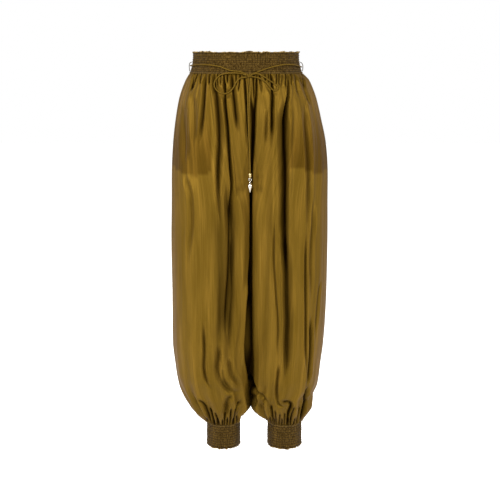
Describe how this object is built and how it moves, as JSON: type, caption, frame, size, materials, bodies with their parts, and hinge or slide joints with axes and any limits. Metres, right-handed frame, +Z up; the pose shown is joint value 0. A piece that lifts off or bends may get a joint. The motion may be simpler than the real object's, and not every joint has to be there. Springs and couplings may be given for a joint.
{
  "type": "harem pants",
  "caption": "Long satin harem pants with smocked waistband and cuffs, gathered balloon legs, side pockets and a tied drawstring with metal charms, hollow as if worn.",
  "frame": {"origin": "middle of the waistband, on its own axis, half way up the band", "axes": "+Z up along the height, +X towards the wearer's left, -Y towards the front"},
  "size_m": [0.3992, 0.261, 1.02],
  "materials": {
    "satin": "satin",
    "satin_smocked": "satin",
    "satin_pocket": "satin",
    "satin_cord": "satin",
    "thread": "matte",
    "gold_metal": "polished",
    "silver_metal": "polished"
  },
  "bodies": {
    "garment": {"waistband": "satin_smocked", "front_right": "satin", "back_right": "satin", "front_left": "satin", "back_left": "satin", "pocket_bag_right": "satin_pocket", "pocket_bag_left": "satin_pocket", "cuff_right": "satin_smocked", "cuff_left": "satin_smocked", "thread_loop_right": "thread", "thread_loop_left": "thread", "drawstring_waist": "satin_cord", "bow_loop_right": "satin_cord", "bow_loop_left": "satin_cord", "cord_end_front": "satin_cord", "cord_end_rear": "satin_cord", "bow_knot": "satin_cord", "end_bead_front": "gold_metal", "end_bead_rear": "gold_metal"},
    "charm_front": {"ring_front": "silver_metal", "charm_front": "silver_metal"},
    "charm_rear": {"ring_rear": "silver_metal", "charm_rear": "silver_metal"}
  },
  "joints": [
    {"name": "front_charm_swing", "type": "hinge", "parent": "garment", "child": "charm_front", "pos_m": [0.01, -0.1185, -0.2775], "axis": [1, 0, 0], "range_deg": [-70, 0]},
    {"name": "rear_charm_swing", "type": "hinge", "parent": "garment", "child": "charm_rear", "pos_m": [0.0108, -0.106, -0.2785], "axis": [1, 0, 0], "range_deg": [0, 45]}
  ]
}
